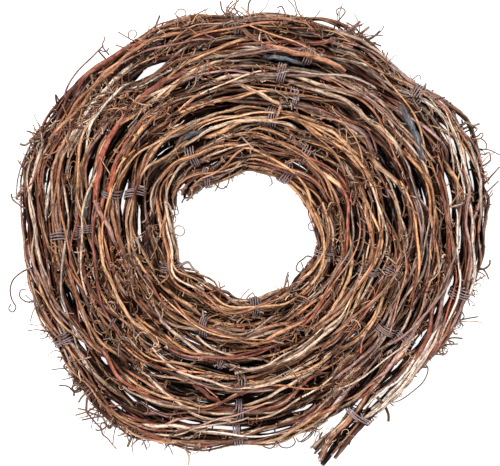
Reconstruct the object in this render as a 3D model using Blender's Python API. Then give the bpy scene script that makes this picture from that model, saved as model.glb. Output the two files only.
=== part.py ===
"""Grapevine garland, coiled flat: bunches of dry vine laid end to end on one spiral, each bound by a wire tie.

Metres, +Z up. The coil lies on z = 0 with the middle of its bounding box over the origin. Places along the
garland are counted in steps, 20 to a turn, from the loose outer end round and inwards to the inner end.
"""

import math
import random

import bmesh
import bpy
from mathutils import Vector

MM = 0.001

# The spiral that the garland follows
STEPS_PER_TURN = 20
START_ANGLE = math.radians(288)
LAST_STEP = 132
TURNS = LAST_STEP / STEPS_PER_TURN
OUTER_RADIUS = 167.5 * MM
PITCH = 17.3 * MM
TAIL_FLARE = 5 * MM
COIL_CENTRE = Vector((6.2, -3.97, 0)) * MM

# How far the outer rim and the rim of the hole stand out from a plain spiral, every 30 degrees from +X
RIM_BULGE = [b * MM for b in (8, 8, 2, -3, 2, 10, 7, 8, 13, 5, -2, -2)]
HOLE_BULGE = [b * MM for b in (1, -1, -3, -3, -3, 1, -5, -6, -10, -6, -4, -1)]

# The garland's section: vines side by side in an oval ring
VINES = 8
VINE_RADIUS = 2.2 * MM
THINNEST_VINE = 0.93
HALF_HEIGHT = 8.8 * MM
AXIS_HEIGHT = 10.2 * MM
TURN_GAP = 0.7 * MM
SPREAD_EVENLY = 0.1
TWIST_LENGTH = 620 * MM
TWIST_WANDER = 0.45
WANDER_LENGTH = 260 * MM
SHAKE = 0.2 * MM
TOP_LIFT = 2.4 * MM
RIM_LIFT = 3.5 * MM
END_GAP = 0.8 * MM
JOINT_SPREAD = 0.9
INNER_JOINT_SPREAD = 0.6
INNER_STEPS = 100
TIE_CLEARANCE = 0.8
SNAP = 0.25
TAIL_ENDS = (-0.35, 0.4)
INNER_ENDS = (0.0, 0.7)

# The wire ties, which draw the vines together
TIE_STEPS = (1, 3, 6, 9, 16, 19, 22, 28, 34, 39, 42, 48, 54, 59, 63, 68, 73, 78, 83, 88, 93, 98, 103,
             107, 111, 115, 119, 123, 127, 131)
WAIST_RADIUS = 5.05 * MM
WIRE_RADIUS = 0.6 * MM
WIRE_CLEARANCE = 0.4 * MM
WIRE_WRAPS = 2
WIRE_SIDES = 3
SEGMENTS_PER_WRAP = 6
WRAP_SPACING = 1.9 * MM
WIRE_END = 5 * MM

# Which turns lie at the rim and round the hole, where shoots grow sideways
RIM_STEPS = 19.5
HOLE_STEPS = 114

# Thin tendrils on the rim and in the hole: step, length in millimetres, lean along the garland, turns of curl
TENDRILS = (
    (1.85, 40, -2.5, -0.3), (2.7, 15, 0.4, 0.8), (4.55, 25, 0.8, 0.05), (4.75, 22, 0.9, -0.05),
    (5.2, 26, 0.3, 1.1), (5.7, 18, -0.3, -0.9), (7.1, 17, 0.2, 0.2), (7.7, 30, 0.3, -1.1),
    (9.9, 25, -0.2, 1.1), (10.8, 22, 0.3, -1.0), (11.6, 48, -3.0, 0.0), (13.6, 16, 0.4, 0.8),
    (14.8, 48, 0.9, 1.2), (16.4, 28, -0.3, 1.1), (17.2, 46, 2.0, 0.1), (19.4, 22, -0.4, -1.0),
    (114.1, 12, 0.3, 0.9), (122.1, 16, 0.3, 1.0), (124.2, 13, -0.4, 0.9), (127.8, 12, 0.2, 0.9),
)

# Stubs of side twigs in the same places: step, length in millimetres, lean along the garland
TWIGS = (
    (1.4, 13, -0.3), (3.5, 13, 0.5), (4.9, 12, -0.4), (7.4, 11, 0.3), (10.3, 13, 0.2), (12.6, 14, 0.5),
    (16.8, 15, -0.4), (17.5, 13, 0.4), (116.4, 9, 0.3),
)
TENDRIL_RADIUS = 0.65 * MM
TENDRIL_SEGMENTS = 6
TWIG_RADIUS = 1.2 * MM
ROOT_DEPTH = 1.0 * MM

TABLE_DEPTH = 20 * MM
SEED = 30

# Colours, roughness of each finish
FINISHES = {
    "tan_vine": ((0.42, 0.22, 0.09), 0.75),
    "red_vine": ((0.25, 0.09, 0.05), 0.72),
    "grey_vine": ((0.30, 0.23, 0.17), 0.82),
    "tie_wire": ((0.10, 0.06, 0.07), 0.65),
}
BUNCH_FINISHES = ("tan_vine", "grey_vine", "tan_vine", "red_vine")


def around(values, angle):
    """Smooth closed curve through values spaced evenly round the circle, read at angle."""
    place = (angle / math.tau) % 1 * len(values)
    first = math.floor(place)
    share = place - first
    before, here, there, after = (values[(first + i) % len(values)] for i in (-1, 0, 1, 2))
    slope_here = (there - before) / 2
    slope_there = (after - here) / 2
    bend = 3 * (there - here) - 2 * slope_here - slope_there
    settle = slope_here + slope_there - 2 * (there - here)
    return here + share * (slope_here + share * (bend + share * settle))


def angle_at(step):
    return START_ANGLE + math.tau * step / STEPS_PER_TURN


def radius_at(step):
    """Distance of the garland's axis from the coil's centre."""
    angle = angle_at(step)
    inward = min(max(step / LAST_STEP, 0), 1)
    bulge = (1 - inward) * around(RIM_BULGE, angle) + inward * around(HOLE_BULGE, angle)
    flare = TAIL_FLARE * max(0, 1 - step) ** 2
    return OUTER_RADIUS - PITCH * step / STEPS_PER_TURN + bulge + flare


def half_width_at(step):
    """Half the garland's width, which leaves a gap to the turns beside it."""
    angle = angle_at(step)
    turn_spacing = PITCH + (around(RIM_BULGE, angle) - around(HOLE_BULGE, angle)) / TURNS
    return (turn_spacing - TURN_GAP) / 2


def travelled(step):
    """Length of garland from its outer end to a step."""
    mean_radius = OUTER_RADIUS - PITCH * step / STEPS_PER_TURN / 2
    return mean_radius * math.tau * step / STEPS_PER_TURN


def twist_at(step):
    """Angle by which the vines have wound round the garland's axis."""
    length = travelled(step)
    return math.tau * length / TWIST_LENGTH + TWIST_WANDER * math.sin(math.tau * length / WANDER_LENGTH)


def outward_at(step):
    return Vector((math.cos(angle_at(step)), math.sin(angle_at(step)), 0))


def along_at(step):
    return Vector((-math.sin(angle_at(step)), math.cos(angle_at(step)), 0))


def axis_at(step):
    return outward_at(step) * radius_at(step) + Vector((0, 0, AXIS_HEIGHT)) - COIL_CENTRE


def lerped(place, read):
    """Reads something known at whole steps at a place between two of them."""
    before = math.floor(place)
    share = place - before
    if share < 1e-9:
        return read(before)
    return [a.lerp(b, share) for a, b in zip(read(before), read(before + 1))]


class Garland:
    """The paths of all vines, with their chance wanderings drawn once in a fixed order."""

    def __init__(self, seed):
        chance = random.Random(seed)
        steps = range(-2, LAST_STEP + 3)
        self.shake = {(v, s): chance.uniform(-SHAKE, SHAKE) for v in range(VINES) for s in steps}
        self.lift = {(v, s): chance.random() ** 2 for v in range(VINES) for s in steps}
        self.thickness = [chance.uniform(THINNEST_VINE, 1) for _ in range(VINES)]

    def turned(self, vine, step):
        """Angle of a vine round the garland's axis, from outward towards up."""
        angle = math.tau * vine / VINES + twist_at(step)
        return angle if step in TIE_STEPS else angle - SPREAD_EVENLY * math.sin(2 * angle)

    def centre(self, vine, step):
        """Place of a vine in the garland's section, outward and up from the axis."""
        angle = self.turned(vine, step)
        if step in TIE_STEPS:
            return Vector((math.cos(angle), math.sin(angle))) * WAIST_RADIUS
        across = half_width_at(step) - VINE_RADIUS + self.shake[vine, step]
        tall = HALF_HEIGHT + self.shake[vine, step]
        lift = self.lift[vine, step]
        sideways = 0
        if step <= RIM_STEPS:
            sideways = RIM_LIFT * lift * max(0, math.cos(angle))
        if step >= HOLE_STEPS:
            sideways = RIM_LIFT * lift * min(0, math.cos(angle))
        upward = TOP_LIFT * lift * max(0, math.sin(angle))
        return Vector((across * math.cos(angle) + sideways, tall * math.sin(angle) + upward))

    def ring(self, vine, step):
        """The three corners of a vine at a whole step, with a ridge turned away from the garland's axis."""
        centre = self.centre(vine, step)
        radius = VINE_RADIUS * self.thickness[vine]
        facing = math.atan2(centre.y, centre.x)
        return [
            self.placed(step, centre + radius * Vector((math.cos(facing + turn), math.sin(facing + turn))))
            for turn in (0, math.tau / 3, 2 * math.tau / 3)
        ]

    @staticmethod
    def placed(step, section_point):
        """A point of the garland's section at a step, in the model's frame."""
        return axis_at(step) + outward_at(step) * section_point.x + Vector((0, 0, section_point.y))

    def reach(self, vine, place, side):
        """How far a vine lies outward (side 1), inward (side -1) or up (side 0) of the garland's axis."""
        centre = lerped(place, lambda s: [self.centre(vine, s)])[0]
        return centre.x * side if side else centre.y


def swept(name, rings):
    """A closed solid through rings that have the same number of corners."""
    shape = bmesh.new()
    loops = [[shape.verts.new(corner) for corner in ring] for ring in rings]
    sides = len(loops[0])
    for near, far in zip(loops, loops[1:]):
        for i in range(sides):
            shape.faces.new((near[i], near[(i + 1) % sides], far[(i + 1) % sides], far[i]))
    shape.faces.new(loops[0])
    shape.faces.new(loops[-1])
    bmesh.ops.triangulate(shape, faces=shape.faces)
    bmesh.ops.recalc_face_normals(shape, faces=shape.faces)
    mesh = bpy.data.meshes.new(name)
    shape.to_mesh(mesh)
    shape.free()
    made = bpy.data.objects.new(name, mesh)
    bpy.context.scene.collection.objects.link(made)
    return made


def tube_rings(points, radii, sides):
    """Rings round a free path, kept from turning about it."""
    rings = []
    reference = None
    for i, (point, radius) in enumerate(zip(points, radii)):
        ahead = (points[min(i + 1, len(points) - 1)] - points[max(i - 1, 0)]).normalized()
        if reference is None:
            reference = ahead.orthogonal()
        reference = (reference - ahead * reference.dot(ahead)).normalized()
        across = ahead.cross(reference)
        turns = [corner * math.tau / sides for corner in range(sides)]
        rings.append([point + radius * (reference * math.cos(t) + across * math.sin(t)) for t in turns])
    return rings


def vine(garland, name, number, start, end):
    """One vine of the garland between two places along it."""
    whole = range(math.floor(start) + 1, math.ceil(end))
    return swept(name, [lerped(p, lambda s: garland.ring(number, s)) for p in (start, *whole, end)])


def tendril(name, root, outward, along, length, turns):
    """A thin tendril that leaves its vine outward and curls up tighter towards the tip."""
    points = [root - outward * ROOT_DEPTH]
    heading = 0.0
    stride = length / TENDRIL_SEGMENTS
    for i in range(TENDRIL_SEGMENTS):
        points.append(points[-1] + stride * (outward * math.cos(heading) + along * math.sin(heading)))
        heading += math.tau * turns * 2 * (i + 1) / (TENDRIL_SEGMENTS * (TENDRIL_SEGMENTS + 1))
    return swept(name, tube_rings(points, [TENDRIL_RADIUS] * len(points), 3))


def twig(name, root, outward, along, length):
    """The stub of a broken side twig, with its fork as a second solid."""
    foot = root - outward * ROOT_DEPTH
    fork = foot + outward * length * 0.6
    tip = fork + (outward + along).normalized() * length * 0.4
    prong = fork + (outward - along * 1.4).normalized() * length * 0.35
    stub = swept(name, tube_rings([foot, fork, tip], [TWIG_RADIUS, TWIG_RADIUS, TWIG_RADIUS * 0.8], 3))
    side = swept(name + "_fork", tube_rings([foot.lerp(fork, 0.8), prong], [TWIG_RADIUS * 0.8] * 2, 3))
    return [stub, side]


def outermost(garland, place, starts, ends):
    """The root of a shoot at a place: the ridge of the vine that lies furthest out there, and the way out."""
    side = 1 if place <= RIM_STEPS else -1 if place >= HOLE_STEPS else 0
    present = [v for v in range(VINES) if starts[v] + 0.1 < place < ends[v] - 0.1]
    number = max(present, key=lambda v: garland.reach(v, place, side))
    root = lerped(place, lambda s: garland.ring(number, s))[0]
    return root, outward_at(place) * side + Vector((0, 0, 0.15 if side else 1))


def growths(garland, name, chance, starts, ends):
    """The tendrils and side twigs of a bunch: those set out above, and one by chance on its upper side."""
    grown = []
    first = sum(starts) / VINES
    last = sum(ends) / VINES
    for place, length, lean, turns in TENDRILS:
        if first < place <= last:
            root, outward = outermost(garland, place, starts, ends)
            heading = (outward + along_at(place) * lean).normalized()
            sideways = heading.cross(Vector((0, 0, 1))).normalized()
            grown.append(tendril(f"{name}_tendril_{len(grown)}", root, heading, -sideways, length * MM, turns))
    for place, length, lean in TWIGS:
        if first < place <= last:
            root, outward = outermost(garland, place, starts, ends)
            heading = (outward + along_at(place) * lean).normalized()
            sideways = heading.cross(Vector((0, 0, 1))).normalized()
            grown += twig(f"{name}_twig_{len(grown)}", root, heading, sideways, length * MM)
    if RIM_STEPS < first and last < HOLE_STEPS:
        place = first + (last - first) * chance.choice((0.2, 0.25, 0.75, 0.8))
        root, outward = outermost(garland, place, starts, ends)
        length = chance.uniform(22, 34) * MM
        along = along_at(place) * chance.choice((-1, 1))
        grown.append(tendril(name + "_tendril", root, outward, along, length, 1.1))
    return grown


def fused(name, pieces):
    """One solid made of all the pieces, which are then removed."""
    body, *others = pieces
    body.name = name
    gathered = bpy.data.collections.new(name + "_pieces")
    bpy.context.scene.collection.children.link(gathered)
    for piece in others:
        gathered.objects.link(piece)
    union = body.modifiers.new("grown together", "BOOLEAN")
    union.operation = "UNION"
    union.solver = "EXACT"
    union.operand_type = "COLLECTION"
    union.collection = gathered
    bpy.context.view_layer.update()
    evaluated = body.evaluated_get(bpy.context.evaluated_depsgraph_get())
    joined = bpy.data.meshes.new_from_object(evaluated)
    body.modifiers.clear()
    body.data = joined
    for piece in others:
        bpy.data.objects.remove(piece)
    bpy.data.collections.remove(gathered)
    return body


def table_cutter():
    """The table that the coil lies on, which presses small flats on the lowest vines."""
    reach = OUTER_RADIUS * 2
    cutter = swept("table", [
        [Vector((x, y, z)) for x, y in ((reach, reach), (-reach, reach), (-reach, -reach), (reach, -reach))]
        for z in (-TABLE_DEPTH, 0)
    ])
    cutter.hide_render = True
    cutter.display_type = "WIRE"
    return cutter


def rest_flat(body, table):
    cut = body.modifiers.new("pressed flat", "BOOLEAN")
    cut.operation = "DIFFERENCE"
    cut.solver = "EXACT"
    cut.object = table


def snapped(place):
    """A place on the garland, moved to the whole step beside it if one is near."""
    return round(place) if abs(place - round(place)) < SNAP else place


def bunch_limits(chance):
    """Where each vine of each bunch starts and ends: about midway between ties, at places that differ."""
    limits = [[chance.uniform(*TAIL_ENDS) for _ in range(VINES)]]
    for before, after in zip(TIE_STEPS, TIE_STEPS[1:]):
        widest = INNER_JOINT_SPREAD if after > INNER_STEPS else JOINT_SPREAD
        spread = min((after - before) / 2 - TIE_CLEARANCE, widest)
        limits.append([snapped((before + after) / 2 + chance.uniform(-spread, spread)) for _ in range(VINES)])
    limits.append([LAST_STEP + chance.uniform(*INNER_ENDS) for _ in range(VINES)])
    return limits


def vine_bunch(garland, name, chance, starts, ends):
    pieces = []
    for number, (start, end) in enumerate(zip(starts, ends)):
        slack = END_GAP / 2 / (radius_at(start) * math.tau / STEPS_PER_TURN)
        pieces.append(vine(garland, f"{name}_vine_{number}", number, start + slack, end - slack))
    pieces += growths(garland, name, chance, starts, ends)
    return fused(name, pieces)


def wire_tie(name, step):
    """Wire wound round the waist of a bunch, with its two ends bent up on top."""
    reach = WAIST_RADIUS + VINE_RADIUS + WIRE_CLEARANCE + WIRE_RADIUS
    reach /= math.cos(math.pi / SEGMENTS_PER_WRAP)
    segments = WIRE_WRAPS * SEGMENTS_PER_WRAP
    points = []
    for i in range(segments + 1):
        turn = math.tau * (i / SEGMENTS_PER_WRAP + 0.25)
        shift = (i / segments - 0.5) * WIRE_WRAPS * WRAP_SPACING
        section = outward_at(step) * math.cos(turn) * reach + Vector((0, 0, math.sin(turn) * reach))
        points.append(axis_at(step) + section + along_at(step) * shift)
    bent_up = Vector((0, 0, WIRE_END))
    points = [points[0] + bent_up] + points + [points[-1] + bent_up]
    return swept(name, tube_rings(points, [WIRE_RADIUS] * len(points), WIRE_SIDES))


def finish(name):
    material = bpy.data.materials.new(name)
    material.use_nodes = True
    colour, roughness = FINISHES[name]
    shader = material.node_tree.nodes["Principled BSDF"]
    shader.inputs["Base Color"].default_value = (*colour, 1)
    shader.inputs["Roughness"].default_value = roughness
    shader.inputs["Metallic"].default_value = 0
    return material


def main():
    for leftover in list(bpy.data.objects):
        bpy.data.objects.remove(leftover)
    chance = random.Random(SEED)
    garland = Garland(SEED)
    limits = bunch_limits(chance)
    table = table_cutter()
    finishes = {name: finish(name) for name in FINISHES}
    for i, step in enumerate(TIE_STEPS):
        bunch = vine_bunch(garland, f"vine_bunch_{i + 1:02}", chance, limits[i], limits[i + 1])
        bunch.data.materials.clear()
        bunch.data.materials.append(finishes[BUNCH_FINISHES[i % len(BUNCH_FINISHES)]])
        rest_flat(bunch, table)
        tie = wire_tie(f"wire_tie_{i + 1:02}", step)
        tie.data.materials.append(finishes["tie_wire"])


main()
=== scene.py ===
"""The looks of a coiled grapevine garland: fine vines, tendrils, side twigs and wire ties over its solids.

Metres, +Z up. Places along the garland are counted in steps, 20 to a turn, from the loose outer end inwards.
"""

import math
import random

import bpy
import numpy as np
from bpy.props import FloatProperty, FloatVectorProperty, IntProperty, PointerProperty
from bpy.types import Operator, Panel, PropertyGroup
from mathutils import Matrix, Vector


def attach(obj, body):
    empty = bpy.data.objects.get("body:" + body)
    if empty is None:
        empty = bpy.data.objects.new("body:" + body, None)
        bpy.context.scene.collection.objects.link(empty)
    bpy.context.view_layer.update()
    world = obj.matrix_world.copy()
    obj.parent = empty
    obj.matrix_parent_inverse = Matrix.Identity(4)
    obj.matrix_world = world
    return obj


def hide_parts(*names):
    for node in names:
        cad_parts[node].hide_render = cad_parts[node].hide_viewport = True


bl_info = {
    "name": "Grapevine Garland",
    "version": (1, 0, 0),
    "blender": (4, 5, 0),
    "location": "View3D > Sidebar > Garland",
    "description": "Dresses a coiled grapevine garland with fine vines, tendrils and wire ties",
    "category": "Object",
}

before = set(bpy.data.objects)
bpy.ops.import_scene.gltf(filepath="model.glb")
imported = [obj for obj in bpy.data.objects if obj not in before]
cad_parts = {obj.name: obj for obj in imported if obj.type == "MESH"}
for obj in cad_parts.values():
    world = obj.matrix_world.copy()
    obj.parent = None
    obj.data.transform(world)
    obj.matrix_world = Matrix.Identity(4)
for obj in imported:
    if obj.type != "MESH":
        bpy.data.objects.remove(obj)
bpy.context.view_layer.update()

MM = 0.001

# The spiral that the garland follows, as the solids have it
STEPS_PER_TURN = 20
START_ANGLE = math.radians(288)
LAST_STEP = 132
TURNS = LAST_STEP / STEPS_PER_TURN
OUTER_RADIUS = 167.5
PITCH = 17.3
COIL_CENTRE = np.array((6.2, -3.97, 0))
RIM_BULGE = (8, 8, 2, -3, 2, 10, 7, 8, 13, 5, -2, -2)
HOLE_BULGE = (1, -1, -3, -3, -3, 1, -5, -6, -10, -6, -4, -1)
AXIS_HEIGHT = 10.2

# Steps at which the wire ties sit, each round the waist of one bunch of vines
TIE_STEPS = (0.75, 3.1, 6.15, 9.2, 15.7, 18.85, 22.1, 28, 34.1, 38.85, 42.05, 48.3, 54, 58.85, 63.1, 67.95,
             73.1, 78.35, 83, 88.3, 93, 97.7, 103, 107, 111, 115.4, 119.3, 123.2, 127.2, 131)
RIM_STEPS = 19.5
HOLE_STEPS = 114
TAIL_STEP = -0.06
INNER_END_STEP = 132.5

# In millimetres: half the garland's height between ties, how far past its half width its vines may lie, half
# the length of a knuckle, the length in which vines go once round it, the length over which the end of a vine
# dives in, and how far along from a tie the garland is drawn in
HALF_HEIGHT = 10.4
SIDE_PLAY = 1.4
KNUCKLE_REACH = 2.2
TWIST_LENGTH = 640
SINK_LENGTH = 18
WAIST_REACH = 17

# The turn from one vine to the next that spreads them evenly over a section
EVEN_TURN = 2.39996

# Seeds of the random draws
BUNCH_SEED = 700
TIE_SEED = 900
MARKED_SEED = 41
HAIR_SEED = 52
SCRAP_SEED = 63

# The picture's scale, and the picture point that lies over the middle of the spiral
PICTURE_SIZE = (500, 466)
CAMERA_DISTANCE = 1.4
SENSOR_WIDTH = 36
MM_PER_PIXEL = 0.76
SPIRAL_PIXEL = (247, 231)

# How far the visible rim and hole lie beyond the plain spiral, in millimetres at every 15 degrees
RIM_TRIM = (-0.5, 4.5, 4, -6.5, 0, -1, 0.5, 2, -1, -1.5, -2, 6, -1, 1, 2, 2, 6, 2, 0, 0, -1.5, -5.5, 0, 1)
HOLE_TRIM = (-2, -3, -1, -1.5, -1.5, 0, 2, -2, -3, 1, 1, -3, -3, -5, 2, -4.5, -2, 1, -1.5, -2, 0, -2, 0, 0)

# Slits through which the ground shows: picture point at the middle, half length, half width in millimetres
SLITS = (
    ((153, 70), 16, 2.6), ((444, 129), 5, 1.4), ((463, 125), 9, 1.7), ((456, 149), 11, 1.4),
    ((470, 172), 20, 1.5), ((449, 196), 20, 1.6), ((460, 242), 17, 1.0), ((449, 289), 16, 1.7),
    ((433, 315), 6, 1.1), ((420, 340), 12, 1.2), ((398, 365), 9, 1.2), ((377, 398), 9, 1.2),
    ((353, 407), 5, 1.1), ((335, 421), 9, 2.2), ((306, 408), 6, 1.1), ((225, 427), 19, 1.2),
    ((188, 422), 10, 1.2), ((275, 430), 14, 0.9), ((116, 404), 8, 1.2), ((103, 359), 5, 1.2),
    ((80, 342), 4, 0.9), ((329, 26), 14, 1.1), ((91, 175), 6, 1.1), ((210, 382), 4, 1.1),
)

# Hollows where the upper vines part over lower ones darkened with painted shade, noted as the slits are
HOLLOWS = (
    ((189, 391), 27, 5.5), ((260, 396), 23, 4.2), ((213, 367), 12, 2.8), ((254, 363), 10, 2.2),
    ((386, 166), 20, 2.9), ((401, 206), 17, 2.8), ((419, 187), 11, 2.8), ((364, 110), 8, 2.5),
    ((387, 207), 12, 2.0), ((140, 213), 18, 2.5), ((157, 174), 11, 2.9), ((168, 149), 10, 3.2),
    ((190, 117), 11, 3.0), ((118, 138), 14, 3.2), ((127, 185), 8, 2.8), ((258, 60), 23, 2.9),
    ((306, 65), 14, 2.8), ((217, 109), 11, 3.0), ((213, 128), 13, 2.8), ((293, 125), 9, 2.8),
    ((346, 111), 8, 2.8), ((316, 381), 12, 2.5), ((72, 300), 12, 2.2), ((330, 330), 12, 2.2),
)
# Heights between which a hollow starts to part the vines, how far past its edges it shades what lies below,
# and how dark
HOLLOW_FLOOR = (8, 13)
HOLLOW_EDGE = 2
HOLLOW_SHADE = 0.85

# How near to a gap vines are moved, how far at most, and the length of vine that goes along with a push
GAP_NEARNESS = 20
LONGEST_PUSH = 8
PUSH_SPREAD = 10

# The share of a gap that growths leave clear, and the share of growths that may cross it after all
CLEAR_SHARE = 0.85
CROSSING_SHARE = 0.15

# Knots of dry debris: picture point at the middle, spread in millimetres, number of scraps
TANGLES = (
    ((88, 112), 9, 90), ((112, 98), 8, 70), ((66, 128), 7, 60), ((44, 140), 5, 40), ((160, 100), 8, 44),
    ((178, 112), 6, 20), ((60, 262), 6, 18), ((52, 300), 6, 18), ((112, 300), 7, 30), ((128, 334), 7, 26),
    ((104, 118), 8, 50), ((134, 92), 7, 40), ((150, 118), 7, 26), ((104, 268), 6, 20), ((130, 268), 6, 16),
    ((78, 389), 5, 20), ((93, 409), 6, 24), ((113, 425), 5, 24), ((137, 438), 5, 20), ((170, 392), 7, 20),
    ((160, 441), 4, 18), ((72, 372), 4, 14), ((228, 17), 4, 14), ((200, 21), 4, 12), ((300, 17), 4, 12),
    ((364, 40), 4, 20), ((447, 343), 4, 20), ((30, 170), 4, 12), ((48, 330), 4, 12), ((190, 440), 4, 12),
    ((150, 218), 6, 12), ((203, 60), 6, 12), ((262, 40), 6, 12), ((318, 30), 5, 14), ((346, 30), 5, 34),
    ((376, 60), 5, 12), ((432, 112), 5, 12), ((468, 130), 5, 12), ((477, 152), 5, 10), ((478, 230), 4, 8),
    ((472, 288), 5, 12), ((458, 325), 5, 12), ((437, 350), 5, 12), ((345, 385), 6, 14), ((340, 352), 6, 14),
    ((300, 330), 5, 10), ((396, 240), 5, 10), ((352, 190), 6, 14), ((372, 176), 5, 12), ((340, 145), 6, 14),
    ((300, 140), 6, 12), ((215, 118), 5, 10), ((240, 330), 6, 10), ((205, 300), 5, 10), ((330, 300), 6, 10),
    ((150, 265), 5, 10), ((312, 430), 4, 12), ((24, 196), 3, 8), ((36, 146), 4, 10), ((184, 30), 4, 8),
)

# Smaller knots strewn along the whole garland
STREWN_KNOTS = 190

# Single vines that stand out in the picture: finish, thickness and height in millimetres, picture points
MARKED_VINES = (
    ("pale", 3.0, 17, ((44, 232), (47, 200), (56, 172), (66, 148), (88, 112), (112, 84), (138, 60),
                       (160, 48))),
    ("pale", 2.6, 17, ((62, 178), (70, 150), (92, 120), (118, 92), (140, 76))),
    ("pale", 3.2, 17, ((296, 432), (312, 425), (330, 410), (345, 392), (360, 376))),
    ("pale", 2.4, 17, ((398, 376), (414, 362), (430, 346), (447, 322))),
    ("peeled", 4.4, 20, ((96, 204), (97, 180), (104, 152), (116, 130), (130, 112))),
    ("peeled", 3.4, 20, ((110, 206), (112, 182), (120, 156), (132, 136))),
    ("red", 4.2, 19, ((122, 122), (140, 100), (162, 84), (190, 70), (214, 62))),
    ("red", 3.6, 18, ((72, 98), (88, 76), (110, 60), (136, 46), (164, 36))),
    ("red", 3.6, 18, ((380, 402), (404, 372), (424, 336), (438, 300), (446, 262))),
    ("purple", 3.2, 18, ((362, 410), (392, 384), (420, 346), (440, 308), (452, 266), (456, 232))),
    ("purple", 3.0, 18, ((352, 398), (384, 372), (408, 340), (428, 300))),
    ("purple", 2.8, 18, ((366, 416), (396, 388), (424, 350), (444, 310))),
    ("pale", 3.2, 19, ((370, 408), (386, 395), (402, 377), (416, 359), (430, 336), (440, 316))),
    ("tan", 2.8, 18, ((362, 398), (382, 376), (404, 350), (420, 326))),
    ("pale", 2.4, 20, ((360, 419), (384, 402), (404, 381), (421, 358), (436, 332))),
    ("grey", 2.4, 20, ((378, 411), (394, 397), (413, 374), (430, 347), (444, 316))),
    ("pale", 1.9, 20.5, ((364, 409), (388, 388), (408, 366), (424, 342))),
    ("grey", 2.2, 20, ((462, 128), (470, 150), (476, 176), (479, 204), (479, 232))),
    ("tan", 2.0, 20, ((446, 116), (458, 140), (466, 168), (470, 198))),
    ("pale", 1.6, 20, ((438, 122), (452, 146), (461, 176), (464, 206))),
    # The slate strips are painted shade: dark blue-grey bars where the coil's shaded depths show
    ("slate_shade", 6.0, 18, ((396, 100), (404, 114), (413, 131), (420, 150), (423, 162))),
    ("slate_shade", 4.0, 18, ((176, 143), (192, 135), (208, 128))),
    ("slate_shade", 4.8, 18, ((85, 220), (87, 202), (93, 182))),
    ("slate_shade", 4.2, 18, ((186, 58), (196, 55), (206, 54))),
    ("slate_shade", 3.8, 18, ((264, 56), (286, 60), (304, 64))),
    ("tan", 3.0, 19, ((236, 372), (280, 362), (318, 340), (346, 312))),
    ("tan", 2.8, 19, ((178, 150), (206, 132), (240, 122), (276, 122), (306, 134))),
    ("golden", 3.0, 19, ((288, 116), (330, 132), (362, 166), (380, 206))),
    ("tan", 2.6, 19, ((150, 300), (170, 328), (200, 350), (236, 360))),
    ("golden", 2.8, 19, ((98, 212), (104, 260), (126, 310), (160, 346))),
    ("tan", 3.0, 21, ((242, 86), (256, 93), (268, 99), (281, 107))),
    ("orange", 2.4, 21, ((281, 104), (278, 113), (275, 123))),
    ("orange", 4.2, 20, ((256, 44), (276, 49), (300, 55), (324, 61), (344, 70))),
    ("tan", 2.6, 19, ((136, 366), (152, 380), (170, 395), (190, 410), (208, 419), (230, 421))),
    ("tan", 2.4, 20, ((222, 389), (244, 388), (270, 382), (298, 374), (320, 362), (338, 345))),
    ("tan", 2.4, 19, ((240, 406), (262, 399), (284, 387), (304, 375), (324, 360), (344, 344))),
    ("red", 3.6, 18, ((192, 382), (201, 388), (210, 395), (221, 404))),
    ("purple", 3.6, 20, ((94, 200), (102, 214), (110, 228), (116, 244))),
    ("golden", 2.6, 19, ((352, 232), (350, 270), (334, 306), (306, 334))),
    ("brown", 3.6, 18, ((232, 24), (248, 34), (262, 46), (272, 50))),
)

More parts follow.
